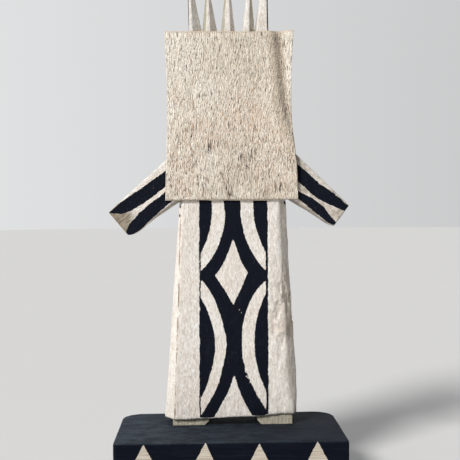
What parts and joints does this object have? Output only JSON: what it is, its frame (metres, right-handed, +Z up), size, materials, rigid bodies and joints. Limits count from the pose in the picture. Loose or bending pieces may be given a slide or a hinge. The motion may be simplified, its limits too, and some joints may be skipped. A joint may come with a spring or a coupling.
{
  "type": "fertility doll",
  "caption": "Carved and painted wooden doll in a flared robe on a painted block base, with a spiked crown, a hide panel behind its head and two pivoting slat arms.",
  "frame": {"origin": "centre of the base's underside", "axes": "+Z up the figure; -Y towards the side with the hide and the base's painted triangles; +X to the right seen from that side"},
  "size_m": [0.1661, 0.0786, 0.352],
  "materials": {
    "black_paint": "matte charcoal-black paint brushed on wood, with bare triangles on the near face",
    "sawn_wood": "rough-sawn pale wood",
    "screw_steel": "zinc-plated steel",
    "whitewashed_wood": "matte whitewash over fine grain, with blue-black painted bands",
    "dowel_wood": "bare birch",
    "arm_wood": "thin whitewash, bare wood at the hand, two blue-black painted stripes",
    "nail_steel": "dull steel",
    "hair_on_hide": "short cream hair with brown flecks, suede behind"
  },
  "bodies": {
    "figure": {"base_block": "black_paint", "leg_left": "sawn_wood", "leg_right": "sawn_wood", "leg_screws": "screw_steel", "robe": "whitewashed_wood", "neck_dowel": "dowel_wood", "head": "whitewashed_wood", "arm_pin_left": "nail_steel", "arm_pin_right": "nail_steel", "hide_panel": "hair_on_hide"},
    "left_arm": {"arm_left": "arm_wood"},
    "right_arm": {"arm_right": "arm_wood"}
  },
  "joints": [
    {"name": "left_shoulder", "type": "hinge", "parent": "figure", "child": "left_arm", "pos_m": [-0.023, 0.007, 0.2184], "axis": [0, 1, 0], "range_deg": [0, 38]},
    {"name": "right_shoulder", "type": "hinge", "parent": "figure", "child": "right_arm", "pos_m": [0.0284, 0.007, 0.2214], "axis": [0, -1, 0], "range_deg": [0, 38]}
  ]
}
